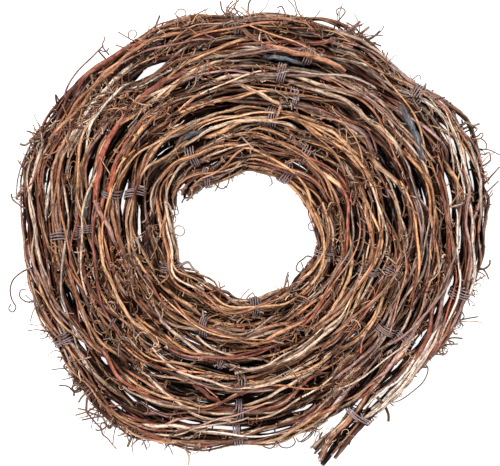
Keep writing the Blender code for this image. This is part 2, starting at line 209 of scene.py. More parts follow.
# Tendrils and hairs that stand out of the coil in the picture: thickness in millimetres, picture points
DRAWN_TENDRILS = (
    (0.9, ((186, 26), (180, 21), (176, 15), (179, 10), (185, 11), (186, 16), (181, 18))),
    (0.9, ((141, 44), (135, 41), (129, 38), (129, 32), (134, 30), (137, 34), (134, 38))),
    (1.6, ((150, 40), (154, 32), (157, 23), (160, 16))),
    (1.2, ((155, 31), (161, 27), (164, 22))),
    (1.3, ((66, 97), (70, 84), (79, 71), (91, 59), (99, 51), (104, 46))),
    (1.1, ((99, 51), (106, 52), (109, 48))),
    (1.0, ((103, 47), (105, 40), (104, 36))),
    (1.5, ((58, 112), (57, 104), (56, 95), (60, 103))),
    (1.9, ((48, 134), (40, 137), (33, 140), (25, 145), (20, 144))),
    (1.4, ((36, 139), (32, 133), (27, 131))),
    (1.3, ((25, 208), (19, 204), (14, 200), (12, 194))),
    (1.0, ((30, 150), (23, 164), (18, 182), (17, 200))),
    (1.1, ((32, 268), (22, 272), (13, 280), (10, 290), (12, 300), (16, 307), (13, 312), (9, 309), (11, 304))),
    (1.0, ((36, 300), (27, 302), (20, 297), (21, 290), (27, 290))),
    (1.2, ((80, 391), (74, 392), (71, 389), (67, 386), (59, 385))),
    (1.1, ((85, 388), (80, 386), (75, 385), (73, 388), (77, 391), (82, 390))),
    (1.6, ((76, 391), (74, 393), (74, 396))),
    (1.5, ((86, 393), (82, 397), (79, 402))),
    (1.3, ((118, 415), (111, 416), (97, 417), (82, 420))),
    (1.3, ((110, 428), (106, 423), (102, 417), (91, 413), (86, 410), (78, 408))),
    (1.2, ((88, 396), (87, 404), (87, 410), (93, 419), (101, 428), (103, 434), (108, 438), (113, 444),
           (117, 448))),
    (1.2, ((116, 424), (107, 426), (103, 429), (98, 430), (96, 429))),
    (1.9, ((94, 402), (99, 409), (106, 416), (112, 421), (118, 425))),
    (1.0, ((110, 426), (104, 422), (101, 425), (103, 429))),
    (1.1, ((64, 366), (70, 373), (78, 382), (86, 392))),
    (1.9, ((134, 432), (131, 439), (128, 446))),
    (1.0, ((205, 436), (200, 446), (194, 450))),
    (1.0, ((211, 436), (212, 445), (209, 452))),
    (1.1, ((286, 18), (284, 11), (281, 7), (277, 9))),
    (1.0, ((336, 24), (341, 18), (345, 12), (341, 8), (336, 11), (338, 16))),
    (2.0, ((348, 32), (354, 27), (360, 22))),
    (2.0, ((358, 36), (364, 31), (369, 27))),
    (0.9, ((366, 42), (374, 37), (381, 31), (384, 26))),
    (1.0, ((408, 84), (413, 79), (419, 75), (421, 80))),
    (1.1, ((434, 110), (440, 104), (446, 100), (449, 105), (445, 109))),
    (1.9, ((466, 123), (471, 126), (476, 125), (479, 124))),
    (1.5, ((470, 126), (473, 127), (475, 129))),
    (0.8, ((474, 128), (477, 129), (475, 132))),
    (1.0, ((474, 137), (478, 136), (481, 133), (483, 135), (481, 138), (478, 139))),
    (0.8, ((478, 139), (483, 141), (486, 145), (485, 150))),
    (1.2, ((476, 168), (484, 165), (490, 160), (489, 153), (484, 154))),
    (1.3, ((478, 192), (484, 184), (491, 176), (499, 167))),
    (1.2, ((479, 200), (486, 193), (493, 186), (498, 181))),
    (1.5, ((474, 268), (482, 269), (488, 265), (489, 260))),
    (1.2, ((482, 269), (486, 274), (488, 279))),
    (1.0, ((470, 282), (477, 280), (480, 276))),
    (1.0, ((452, 322), (459, 321), (464, 317), (462, 312))),
    (1.0, ((436, 350), (443, 354), (447, 351))),
    (0.8, ((420, 362), (428, 368), (424, 381), (412, 392), (400, 400), (392, 402), (389, 398))),
    (2.2, ((378, 398), (384, 405), (388, 414), (388, 421))),
    (0.9, ((312, 430), (305, 438), (299, 441), (296, 437))),
    (0.7, ((258, 438), (263, 446), (271, 448), (276, 443), (273, 438))),
    (0.7, ((276, 438), (281, 446), (289, 447), (295, 442), (293, 436))),
    (1.0, ((308, 256), (303, 259), (298, 263), (296, 269), (300, 272), (303, 268), (301, 262))),
    (0.7, ((173, 230), (177, 226), (183, 227), (185, 232), (181, 236), (176, 234))),
    (0.8, ((316, 222), (311, 222), (308, 226), (310, 230), (314, 231))),
    (0.7, ((214, 182), (218, 187), (223, 189), (226, 186))),
    (0.9, ((229, 178), (228, 184), (226, 188))),
    (0.7, ((264, 172), (270, 177), (272, 184), (269, 186))),
    (1.1, ((190, 196), (184, 199), (182, 203))),
    (1.8, ((202, 188), (194, 194), (187, 201))),
    (1.8, ((188, 262), (193, 268), (199, 272))),
    (1.5, ((186, 276), (193, 282), (200, 287))),
)


def length_setting(name, description, millimetres):
    return FloatProperty(
        name=name, description=description, default=millimetres * MM, unit="LENGTH", subtype="DISTANCE",
    )


def colour_setting(name, thing, colour):
    return FloatVectorProperty(name=name, description=f"Colour of {thing}", default=colour, subtype="COLOR")


# Hairs are drawn thicker than they look, as the bright ground eats into them, and start inside the coil. One
# that starts nearer to the middle than halfway out stands in the hole.
HAIR_GAIN = 1.24
THINNEST_HAIR = 1.2
HAIR_ROOT = 8
HALFWAY_OUT = 110

# Scraps that lie further out than this range hang lower down on the rim
RIM_RANGE = (160, 176)


class GarlandSettings(PropertyGroup):
    """Sizes and colours of the garland's vines, tendrils and ties."""

    vines: IntProperty(
        name="Vines in a Bunch", description="Number of fine vines side by side in the garland's section",
        default=36, min=8, max=60,
    )
    vine_thickness: length_setting("Vine Thickness", "Thickness of an ordinary vine", 2.0)
    tendrils: IntProperty(
        name="Tendrils on a Bunch", description="Number of small curls that lie on each bunch",
        default=76, min=0, max=120,
    )
    tendril_thickness: length_setting(
        "Tendril Thickness", "Thickness of a tendril where it leaves its vine", 0.9,
    )
    wire_thickness: length_setting("Wire Thickness", "Thickness of the paper-covered wire", 1.1)
    wire_wraps: IntProperty(
        name="Wire Wraps", description="Number of turns of wire in a tie", default=3, min=1, max=6,
    )
    waist: length_setting("Waist", "Radius of the garland where a tie draws it in", 7.2)
    golden: colour_setting("Golden Vine", "the fresh golden vines", (0.485, 0.262, 0.137))
    tan: colour_setting("Tan Vine", "the light tan vines", (0.54, 0.376, 0.266))
    orange: colour_setting("Orange Vine", "the orange-brown vines", (0.34, 0.155, 0.085))
    peeled: colour_setting("Peeled Vine", "the bright vines that have lost their bark", (0.29, 0.088, 0.055))
    red: colour_setting("Red Vine", "the dark red vines", (0.19, 0.063, 0.043))
    purple: colour_setting("Purple Vine", "the purplish vines", (0.30, 0.168, 0.145))
    brown: colour_setting("Brown Vine", "the dark brown vines", (0.16, 0.078, 0.047))
    grey: colour_setting("Grey Vine", "the weathered vines", (0.37, 0.27, 0.215))
    pale: colour_setting("Pale Vine", "the bleached dead vines", (0.58, 0.49, 0.41))
    # Painted shade: dark blue-grey strips that stand for the coil's shaded depths
    slate_shade: colour_setting("Slate Bark", "the smooth dark bark patches", (0.085, 0.09, 0.10))
    cut_end: colour_setting("Cut End", "the sawn ends", (0.44, 0.38, 0.34))
    wire: colour_setting("Wire Paper", "the paper on the wire", (0.24, 0.17, 0.176))


# How often each finish is drawn, at the outer end and at the inner end of the garland
FINISH_SHARES = {
    "golden": (0.10, 0.40), "tan": (0.13, 0.14), "orange": (0.12, 0.27), "peeled": (0.035, 0.0),
    "red": (0.12, 0.05), "purple": (0.18, 0.03), "brown": (0.12, 0.08), "grey": (0.16, 0.03),
    "pale": (0.03, 0.0),
}

# The further share of its red, green and blue that a tint loses in deep painted shade, so that it turns
# red-brown
SHADE_LOSS = (0, 0.54, 0.82)

# How far a cut end's first ring lies in from its face, as a share of the way to the next ring, on a short
# stride and on the long first stride of a loose end
CUT_SHARE = 0.04
LOOSE_CUT_SHARE = 0.4

# Painted shade: how much of its tint a stem keeps on the side away from its lit side
BACK_LIGHT = 0.16


class Stem:
    """A vine, tendril or wire: a path in millimetres with a thickness and a tint at each of its points.

    Its lit side, the way that it faces out of the garland, keeps the full tint; the other sides are darkened
    with painted shade.
    """

    def __init__(self, points, radii, tint, cut=None, cut_share=CUT_SHARE, lit_side=(0, 0, 1)):
        points = np.asarray(points, dtype=float)
        radii = np.broadcast_to(np.asarray(radii, dtype=float), len(points))
        tints = np.broadcast_to(np.asarray(tint, dtype=float), (len(points), 3))
        lit_side = np.broadcast_to(np.asarray(lit_side, dtype=float), (len(points), 3))
        first_way = points[0] - points[1]
        last_way = points[-1] - points[-2]
        if cut is not None:
            # A point just inside each end, so that the cut face alone takes the colour of a cut
            points = np.vstack((points[:1], points[0] - first_way * cut_share, points[1:-1],
                                points[-1] - last_way * CUT_SHARE, points[-1:]))
            radii = np.concatenate((radii[:1], radii[:1], radii[1:-1], radii[-1:], radii[-1:]))
            tints = np.vstack((cut, tints[:1], tints[1:-1], tints[-1:], cut))
            lit_side = np.vstack((lit_side[:1], lit_side, lit_side[-1:]))
        # The ends close in a point just beyond the last ring
        first_tip = points[0] + first_way / np.linalg.norm(first_way) * radii[0] * 0.1
        last_tip = points[-1] + last_way / np.linalg.norm(last_way) * radii[-1] * 0.1
        self.points = np.vstack((first_tip, points, last_tip))
        self.radii = np.concatenate(([0], radii, [0]))
        self.tints = np.vstack((tints[:1], tints, tints[-1:]))
        self.lit_side = np.vstack((lit_side[:1], lit_side, lit_side[-1:]))

    def lengths(self):
        """Distance of each point from the stem's start."""
        strides = np.linalg.norm(np.diff(self.points, axis=0), axis=1)
        return np.concatenate(([0], np.cumsum(strides)))


def in_shade(tints, light):
    """Tints darkened by a share of painted shade at each point. Where the painted shade is deepest, the tint
    turns red-brown.
    """
    return tints * light[:, None] * (1 - np.outer(1 - smooth_step(light, 0, 0.7), SHADE_LOSS))


def around(values, angle):
    """Smooth closed curve through values spaced evenly round the circle, read at an array of angles."""
    values = np.array(values, dtype=float)
    place = (angle / math.tau) % 1 * len(values)
    first = np.floor(place).astype(int)
    share = place - first
    before, here, there, after = (values[(first + i) % len(values)] for i in (-1, 0, 1, 2))
    slope_here = (there - before) / 2
    slope_there = (after - here) / 2
    bend = 3 * (there - here) - 2 * slope_here - slope_there
    settle = slope_here + slope_there - 2 * (there - here)
    return here + share * (slope_here + share * (bend + share * settle))


def angle_at(steps):
    return START_ANGLE + math.tau * steps / STEPS_PER_TURN


def radius_at(steps):
    """Distance of the garland's axis from the middle of the spiral."""
    angle = angle_at(steps)
    inward = np.clip(steps / LAST_STEP, 0, 1)
    bulge = (1 - inward) * around(RIM_BULGE, angle) + inward * around(HOLE_BULGE, angle)
    flare = 12.5 * np.maximum(0, 1 - steps) ** 2
    at_rim = around(RIM_TRIM, angle) * np.clip(1.15 - steps / 30, 0, 1)
    at_hole = around(HOLE_TRIM, angle) * np.clip(1.15 - (LAST_STEP - steps) / 30, 0, 1)
    return OUTER_RADIUS - PITCH * steps / STEPS_PER_TURN + bulge + flare + at_rim + at_hole


def half_width_at(steps):
    angle = angle_at(steps)
    return (PITCH + (around(RIM_BULGE, angle) - around(HOLE_BULGE, angle)) / TURNS) / 2


def edges_at(angle):
    """Distances of the coil's hole and rim from the middle of the spiral, at an angle."""
    turned = (angle - START_ANGLE) / math.tau % 1 * STEPS_PER_TURN
    inner = np.array(turned + STEPS_PER_TURN * math.floor((LAST_STEP - turned) / STEPS_PER_TURN))
    outer = np.array(turned)
    return radius_at(inner) - half_width_at(inner), radius_at(outer) + half_width_at(outer)


# Length of garland up to each of many places, to turn millimetres into steps and back
PLACES = np.linspace(-2, LAST_STEP + 3, 6000)
TRAVELLED = np.concatenate(([0], np.cumsum(np.hypot(
    np.diff(radius_at(PLACES) * np.cos(angle_at(PLACES))),
    np.diff(radius_at(PLACES) * np.sin(angle_at(PLACES)))))))
TIE_LENGTHS = np.interp(TIE_STEPS, PLACES, TRAVELLED)


def outward_at(steps):
    angle = angle_at(steps)
    return np.stack((np.cos(angle), np.sin(angle), np.zeros_like(angle)), axis=-1)


def axis_at(steps):
    """Points of the garland's axis in millimetres, in the model's frame."""
    return outward_at(steps) * radius_at(steps)[..., None] + np.array((0, 0, AXIS_HEIGHT)) - COIL_CENTRE


def along_at(steps):
    """Direction in which the garland runs."""
    ahead = axis_at(steps + 0.05) - axis_at(steps - 0.05)
    return ahead / np.linalg.norm(ahead, axis=-1, keepdims=True)


def across_at(steps):
    """Direction square to the garland's run, level and away from the middle."""
    along = along_at(steps)
    return np.stack((along[..., 1], -along[..., 0], along[..., 2]), axis=-1)


def waist_width_at(lengths):
    """How much wider than tall the garland is at a tie: the loose outer end is bound flat."""
    return 1 + 0.35 * np.exp(-((lengths - TIE_LENGTHS[0]) / 60) ** 2)


def from_picture(points, height):
    """Points over the coil that lie under picture points, at a height in millimetres."""
    points = np.array(points, dtype=float)
    plan = (points - SPIRAL_PIXEL) * (MM_PER_PIXEL, -MM_PER_PIXEL)
    return np.column_stack((plan, np.broadcast_to(height, len(plan)))) - COIL_CENTRE


def smoothed(points, spacing):
    """A smooth path through points, read at about even spacing."""
    points = np.asarray(points, dtype=float)
    ends = np.vstack((2 * points[0] - points[1], points, 2 * points[-1] - points[-2]))
    path = []
    for before, here, there, after in zip(ends, ends[1:], ends[2:], ends[3:]):
        count = max(2, round(np.linalg.norm(there - here) / spacing))
        t = np.linspace(0, 1, count, endpoint=False)[:, None]
        bend = 2 * before - 5 * here + 4 * there - after
        settle = 3 * here - before - 3 * there + after
        path.append(0.5 * (2 * here + (there - before) * t + bend * t ** 2 + settle * t ** 3))
    return np.vstack(path + [points[-1:]])


def wander(chance, lengths, waves):
    """A sum of slow waves along a vine; waves gives the reach and the length of each."""
    total = np.zeros_like(lengths)
    for reach, wave in waves:
        total += reach * np.sin(math.tau * (lengths / wave / chance.uniform(0.8, 1.25) + chance.random()))
    return total


def waist_share(lengths):
    """How much the ties draw the garland in: 1 at a tie, falling to 0 away from it."""
    nearest = np.min(np.abs(lengths[:, None] - TIE_LENGTHS[None, :]), axis=1)
    return np.exp(-(nearest / WAIST_REACH) ** 2)


def gaps_near(points, radii, hollows=HOLLOWS):
    """Goes through the slits and hollows: the outward direction of each, how far outward of its middle the
    points lie, how far from its middle it is clear there, and how much it shades what lies below."""
    above = smooth_step(points[:, 2], *HOLLOW_FLOOR)
    gaps = [(gap, False) for gap in SLITS] + [(gap, True) for gap in hollows]
    for (middle, half_length, half_width), is_hollow in gaps:
        centre = from_picture([middle], 0)[0]
        outward = unit((centre + COIL_CENTRE) * (1, 1, 0))
        along = np.array((-outward[1], outward[0], 0))
        offset = points - centre
        across = offset @ outward
        reach = np.clip(1.25 - (offset @ along / half_length) ** 2, 0, 1)
        clear = (half_width + radii) * reach
        shade = np.zeros_like(across)
        if is_hollow:
            clear = clear * above
            shade = reach * (1 - above) * np.exp(-(across / (half_width + HOLLOW_EDGE)) ** 2)
        yield outward, across, clear, shade


def part_at_gaps(stem, hollows=HOLLOWS):
    """Moves a vine aside from each slit and hollow, to one side over its whole way past it."""
    runs = stem.lengths()
    for outward, across, clear, shade in gaps_near(stem.points, stem.radii, hollows):
        # Painted shade: darkens the vine where it lies low under a hollow
        stem.tints = stem.tints * (1 - HOLLOW_SHADE * np.clip(shade, 0, 1))[:, None]
        near = (clear > 0) & (np.abs(across) < GAP_NEARNESS)
        if not near.any():
            continue
        side = 1.0 if across[near].mean() >= 0 else -1.0
        inside = side * across
        fading = np.exp(-(np.maximum(inside, 0) / LONGEST_PUSH) ** 2)
        push = (np.sqrt(inside ** 2 + 4 * clear ** 2 * fading) - inside) / 2
        push = np.where(near, np.minimum(push, LONGEST_PUSH), 0)
        spread = np.exp(-((runs[:, None] - runs[None, :]) / PUSH_SPREAD) ** 2)
        stem.points += side * (spread * push).max(axis=1)[:, None] * outward


def clear_of_gaps(stem):
    """Tells whether a growth leaves every slit and hollow clear over its whole length."""
    runs = stem.lengths()
    places = np.linspace(0, runs[-1], max(3, round(runs[-1] / 0.8)))
    path = np.column_stack([np.interp(places, runs, stem.points[:, axis]) for axis in range(3)])
    gaps = gaps_near(path, stem.radii.max())
    return all(np.all(np.abs(across) >= CLEAR_SHARE * clear) for _, across, clear, _ in gaps)


def mostly_clear(chance, stems):
    """The growths that leave the gaps clear, and a few of the others."""
    return [stem for stem in stems if clear_of_gaps(stem) or chance.random() < CROSSING_SHARE]


def unit(vector):
    return vector / np.linalg.norm(vector)


def smooth_step(values, low, high):
    """0 where a value is under low, 1 where it is over high, and smooth between."""
    share = np.clip((values - low) / (high - low), 0, 1)
    return share * share * (3 - 2 * share)


def drawn_finish(chance, place):
    """The finish of a vine, drawn by the shares that hold at its place along the garland."""
    inward = min(max(place / LAST_STEP, 0), 1)
    names = list(FINISH_SHARES)
    weights = [FINISH_SHARES[name][0] * (1 - inward) + FINISH_SHARES[name][1] * inward for name in names]
    return chance.choices(names, weights)[0]


def varied(chance, colour, spread=0.22):
    """A colour made a little lighter or darker, and a little warmer or cooler."""
    light = math.exp(chance.gauss(0, spread))
    warm = max(0.985, math.exp(chance.gauss(0, 0.06)))
    drawn = np.array(colour) * light * np.array((warm, 1, 1 / warm))
    return np.maximum(drawn * min(1, 0.72 / drawn.max()), 0.01)


def joints_along(chance, first, last):
    """Where the knuckles of a vine are, in millimetres along the garland."""
    places = []
    place = first + chance.uniform(5, 60)
    while place < last:
        places.append(place)
        place += chance.uniform(42, 88)
    return np.array(places)


def bundled_vine(chance, settings, first, last, spot, thickness, colour, sinks=(True, True), stride=4.6):
    """A vine that runs with the garland between two lengths along it, at a spot of the section.

    An end that sinks dives in between the other vines and thins out.
    """
    knuckles = joints_along(chance, first, last)
    grid = np.arange(first, last, stride)
    close = (knuckles[:, None] + np.array((-KNUCKLE_REACH, 0, KNUCKLE_REACH))).ravel()
    lengths = np.unique(np.concatenate((grid, close[(close > first) & (close < last)], [last])))
    lengths = lengths[np.concatenate(([True], np.diff(lengths) > 0.9))]
    steps = np.interp(lengths, TRAVELLED, PLACES)
    radius = thickness / 2
    sunk = np.zeros_like(lengths)
    if sinks[0]:
        sunk = np.maximum(sunk, 1 - smooth_step(lengths - first, 0, SINK_LENGTH))
    if sinks[1]:
        sunk = np.maximum(sunk, 1 - smooth_step(last - lengths, 0, SINK_LENGTH))

    ring, turn = spot
    turn = turn + math.tau * lengths / TWIST_LENGTH
    turn = turn + wander(chance, lengths, ((0.40, 260), (0.28, 110), (0.10, 52)))
    ring = np.clip(ring + wander(chance, lengths, ((0.12, 200), (0.10, 85))), 0.05, 1.08) * (1 - 0.6 * sunk)
    drawn_in = waist_share(lengths)
    waist = settings.waist / MM
    loose = (half_width_at(steps) + SIDE_PLAY) * (1 - drawn_in)
    across = loose + waist * waist_width_at(lengths) * drawn_in - radius
    tall = HALF_HEIGHT * (1 - drawn_in) + waist * drawn_in - radius

    bends = np.concatenate(([first - 30], knuckles, [last + 30]))
    free = 1 - 0.8 * drawn_in
    kink_out = np.interp(lengths, bends, [chance.uniform(-1.2, 1.2) for _ in bends]) * free
    kink_up = np.interp(lengths, bends, [chance.uniform(-0.8, 0.8) for _ in bends]) * free
    out = across * ring * np.cos(turn) + kink_out + free * wander(chance, lengths, ((0.4, 48), (0.2, 21)))
    up = tall * ring * np.sin(turn) + kink_up
    points = axis_at(steps) + across_at(steps) * out[:, None]
    points[:, 2] += up

    swell = np.zeros_like(lengths)
    if len(knuckles):
        swell = np.exp(-(np.abs(lengths[:, None] - knuckles).min(axis=1) / KNUCKLE_REACH) ** 2)
    taper = np.interp(lengths, (first, last), sorted((0.8, 1.1), reverse=chance.random() < 0.5))
    radii = radius * taper * (1 + chance.uniform(0.2, 0.5) * swell)
    radii = radii * (1 + wander(chance, lengths, ((0.07, 23),))) * (1 - 0.45 * sunk)
    points[:, 2] = np.maximum(points[:, 2], radii + 0.1)

    # Painted shade: vines deep inside the garland are darker, and so are those under a tie; the tone also
    # varies at random along a vine, and its knuckles are a little darker
    light = 0.05 + 0.95 * smooth_step(ring, 0.63, 0.99)
    tied = np.min(np.abs(lengths[:, None] - TIE_LENGTHS[None, :]), axis=1)
    light *= 1 - 0.65 * np.exp(-(tied / 4.5) ** 2)
    light *= np.exp(wander(chance, lengths, ((0.14, 60), (0.12, 26)))) * (1 - 0.35 * swell)
    tints = np.clip(in_shade(colour, light), 0.003, 0.85)
    cut_share = CUT_SHARE if sinks[0] else LOOSE_CUT_SHARE
    # The lit side faces away from the garland's axis; painted shade falls on the other sides
    away = points - axis_at(steps)
    away /= np.linalg.norm(away, axis=1, keepdims=True) + 0.1
    return Stem(points, radii, tints, varied(chance, settings.cut_end), cut_share, away), lengths


def shaded_seam_vine(chance, settings, first, last, side):
    """A vine low down along one flank, which the ties leave out, darkened with painted shade where the turns
    meet.
    """
    lengths = np.append(np.arange(first, last, 6.0), last)
    steps = np.interp(lengths, TRAVELLED, PLACES)
    out = side * (half_width_at(steps) - chance.uniform(-0.5, 4.5))
    out = out + wander(chance, lengths, ((1.4, 90), (0.5, 40)))
    points = axis_at(steps) + across_at(steps) * out[:, None]
    radius = chance.uniform(0.9, 1.7)
    points[:, 2] = np.maximum(chance.uniform(2.0, 8.5) + wander(chance, lengths, ((0.8, 120),)), radius + 0.1)
    # Painted shade: the vine's tint is cut to between an eighth and a half
    colour = in_shade(varied(chance, settings.brown), np.array([chance.uniform(0.12, 0.5)]))[0]
    return Stem(points, radius, colour)


def stray_vine(chance, settings, first, last, place):
    """A vine on top that leaves its own turn and crosses to a neighbouring one."""
    length = min(chance.uniform(50, 110), last - first)
    start = chance.uniform(first, last - length)
    lengths = np.append(np.arange(start, start + length, 4.6), start + length)
    steps = np.interp(lengths, TRAVELLED, PLACES)
    t = np.linspace(0, 1, len(lengths))
    side = chance.choice((-1, 1))
    if place < RIM_STEPS:
        side = -1
    if place > HOLE_STEPS:
        side = 1
    way = t if chance.random() < 0.5 else 1 - t
    reach = chance.uniform(12, 24) if place < 80 else chance.uniform(6, 14)
    out = side * (way * reach - chance.uniform(2, 7)) + wander(chance, lengths, ((0.9, 50),))
    radius = chance.uniform(0.7, 1.25)
    points = axis_at(steps) + across_at(steps) * out[:, None]
    points[:, 2] = AXIS_HEIGHT + 9.6 + radius - 5.5 * np.abs(2 * t - 1) ** 3
    points[:, 2] += wander(chance, lengths, ((0.6, 60),))
    radii = radius * (1 - 0.3 * t) * (1 + wander(chance, lengths, ((0.10, 24),)))
    colour = varied(chance, getattr(settings, drawn_finish(chance, place)))
    return Stem(points, radii, colour, cut=varied(chance, settings.cut_end))


def curl(chance, root, ahead, aside, length, turns, thickness, colour):
    """A tendril that wavers away from its root and hooks or rolls up towards its tip."""
    count = max(9, round(length / 1.4))
    t = np.linspace(0, 1, count)
    heading = chance.uniform(-0.5, 0.5) + math.tau * turns * t ** chance.uniform(1.6, 3.0)
    heading += wander(chance, t * length, ((0.35, 14), (0.2, 6)))
    lean = np.cross(ahead, aside)
    strides = np.cos(heading)[:, None] * ahead + np.sin(heading)[:, None] * aside
    sway = chance.uniform(-0.25, 0.25) + 0.3 * np.sin(math.tau * (1.3 * t + chance.random()))
    strides += lean * sway[:, None]
    points = root + np.vstack((np.zeros(3), np.cumsum(strides[:-1], axis=0))) * length / count
    radii = thickness / 2 * (1 - 0.5 * t)
    points[:, 2] = np.maximum(points[:, 2], radii + 0.1)
    return Stem(points, radii, colour)


def snag(chance, root, ahead, aside, length, thickness, colour, cut):
    """A broken bit of twig with a kink or two, and now and then a fork."""
    points = [root - ahead, root]
    for _ in range(chance.choice((1, 2, 2, 3))):
        ahead = unit(ahead + aside * chance.uniform(-0.9, 0.9) + np.array((0, 0, chance.uniform(-0.3, 0.3))))
        points.append(points[-1] + ahead * length * chance.uniform(0.3, 0.6))
    points = np.array(points)
    points[:, 2] = np.maximum(points[:, 2], thickness)
    stems = [Stem(points, thickness / 2 * np.linspace(1, 0.75, len(points)), colour, cut=cut)]
    if chance.random() < 0.35:
        prong = points[2] + unit(aside * chance.choice((-1, 1)) + ahead) * length * 0.35
        prong[2] = max(prong[2], thickness)
        stems.append(Stem((points[2], (points[2] + prong) / 2, prong), thickness * 0.34, colour, cut=cut))
    return stems


def growths_on(chance, settings, stems, wanted):
    """Tendrils and spurs that grow from the outermost vines of a bunch, more of them above than below."""
    grown = []
    thin = settings.tendril_thickness / MM
    tries = 0
    while len(grown) < wanted and tries < wanted * 12:
        tries += 1
        stem, lengths = chance.choice(stems)
        spot = chance.randrange(3, len(stem.points) - 3)
        root = stem.points[spot]
        step = np.interp(lengths[min(spot, len(lengths) - 1)], TRAVELLED, PLACES)
        axis = axis_at(np.array(step))
        outward = across_at(np.array(step))
        along = along_at(np.array(step))
        away = root - axis
        if np.linalg.norm(away) < 6.5 or (away[2] < -3 and chance.random() < 0.6):
            continue
        at_rim = step < RIM_STEPS and away @ outward > 5
        at_hole = step > HOLE_STEPS and away @ outward < -5
        if at_hole and chance.random() < 0.7:
            continue
        finish = chance.choice(("brown", "golden", "grey", "orange", "tan"))
        colour = varied(chance, getattr(settings, finish), 0.35)
        side = chance.choice((-1, 1))
        at_edge = at_rim or at_hole
        if chance.random() < (0.15 if at_edge else 0.35):
            lift = chance.uniform(0.1, 0.6) if chance.random() < 0.85 else 2.0
            ahead = unit(unit(away) * lift + along * chance.choice((-1, 1)))
            flat = np.array((ahead[1], -ahead[0], 0)) * side + np.array((0, 0, chance.uniform(-0.4, 0.4)))
            aside = unit(flat - ahead * (flat @ ahead))
            length = chance.uniform(5, 11) if at_edge else chance.uniform(8, 24)
            if lift > 1:
                length = chance.uniform(10, 24)
            turns = chance.uniform(0.2, 1.3) * min(1, length / 20)
            thickness = thin * chance.uniform(0.6, 1.2)
            grown.append(curl(chance, root, ahead, aside, length, turns, thickness, colour))
        else:
            ahead = unit(unit(away) * chance.uniform(0.2, 1.0) + along * side * chance.uniform(0.4, 1.2))
            length = chance.uniform(2.5, 7.5) if at_edge else chance.uniform(2.5, 9)
            cut = varied(chance, settings.cut_end)
            grown += snag(chance, root, ahead, along * side, length, chance.uniform(0.9, 1.9), colour, cut)
    return grown


def tangle(chance, settings, middle, spread, count, size):
    """A knot of dry scraps caught in the vines: thin stalks, kinked bits and fine curls."""
    stems = []
    outward = unit((middle + COIL_CENTRE) * (1, 1, 0))
    along = np.array((-outward[1], outward[0], 0))
    hole, rim = edges_at(math.atan2(outward[1], outward[0]))
    for _ in range(count):
        out = np.linalg.norm((middle + COIL_CENTRE)[:2]) + chance.gauss(0, spread * 0.6)
        root = middle + along * chance.gauss(0, spread)
        kept_out = min(max(out, hole + 4), rim - 1.5)
        root += outward * (kept_out - np.linalg.norm((root + COIL_CENTRE)[:2]))
        root[2] += chance.uniform(-4.5, 1.0)
        at_rim = out > rim - 5
        ahead = unit(along * chance.choice((-1, 1)) + outward * chance.gauss(1.3 if at_rim else 0, 0.9))
        ahead[2] = chance.uniform(-0.25, 0.25)
        aside = unit(np.cross(ahead, (0, 0, 1)))
        finish = chance.choice(("brown", "red", "grey", "tan", "orange", "golden", "orange"))
        colour = varied(chance, getattr(settings, finish), 0.45) * 0.85
        kind = chance.random() + (0.2 if at_rim else 0)
        if kind < 0.4:
            length = chance.uniform(8, 22) * size
            thickness = chance.uniform(0.6, 1.2)
            bow = aside * length * chance.uniform(-0.15, 0.15)
            points = smoothed((root, root + ahead * length * 0.5 + bow, root + ahead * length), 3)
            points[:, 2] = np.maximum(points[:, 2], thickness)
            stems.append(Stem(points, thickness / 2, colour))
        elif kind < 0.75:
            length = chance.uniform(3, 8) * size
            thickness = chance.uniform(0.8, 1.5)
            cut = varied(chance, settings.cut_end)
            stems += snag(chance, root, ahead, aside, length, thickness, colour, cut)
        else:
            turns = chance.uniform(0.6, 1.8)
            stems.append(curl(chance, root, ahead, aside, chance.uniform(8, 18) * size, turns, 0.7, colour))
    return stems


def bunch_stems(settings, number):
    """The vines of a bunch, from midway to the tie before to midway to the next, and what grows on them."""
    chance = random.Random(BUNCH_SEED + number)
    ties = TIE_LENGTHS
    first = (ties[number - 1] + ties[number]) / 2 if number else np.interp(TAIL_STEP, PLACES, TRAVELLED)
    last = np.interp(INNER_END_STEP, PLACES, TRAVELLED)
    if number + 1 < len(ties):
        last = (ties[number] + ties[number + 1]) / 2
    place = TIE_STEPS[number]
    is_tail = number == 0
    is_inner_end = number == len(ties) - 1
    overlap = min(24, (last - first) / 4)

    held = []
    hidden = []
    count = 18 if is_tail else settings.vines
    for i in range(count):
        ring = min(math.sqrt((i + 0.6) / count) * 1.04, 1.0)
        spot = (ring, i * EVEN_TURN + chance.uniform(-0.2, 0.2))
        start = first + chance.uniform(0, 20) if is_tail else first - chance.uniform(-4, overlap)
        end = last - chance.uniform(0, 14) if is_inner_end else last + chance.uniform(-4, overlap)
        finish = drawn_finish(chance, place)
        thick = chance.random() < (0.45 if is_tail else 0.12) and finish != "pale"
        size = chance.uniform(1.4, 1.95) if thick else chance.uniform(0.6, 1.3)
        size = settings.vine_thickness / MM * size
        colour = varied(chance, getattr(settings, finish))
        sinks = (not is_tail, not is_inner_end)
        if ring < 0.6 and not (is_tail or is_inner_end):
            hidden.append(bundled_vine(chance, settings, start, end, spot, size, colour, sinks, 8.0)[0])
        else:
            held.append(bundled_vine(chance, settings, start, end, spot, size, colour, sinks))
    vines = [stem for stem, _ in held]
    if not is_tail:
        sides = [-1] * 4 * (place < HOLE_STEPS) + [1] * 4 * (place > RIM_STEPS)
        hidden += [shaded_seam_vine(chance, settings, first - 4, last + 4, side) for side in sides]
        vines += [stray_vine(chance, settings, first, last, place) for _ in range(3)]
    for vine in vines + hidden:
        part_at_gaps(vine)
    growths = growths_on(chance, settings, held, settings.tendrils + 34 * (place < RIM_STEPS))
    return vines, hidden + mostly_clear(chance, growths)


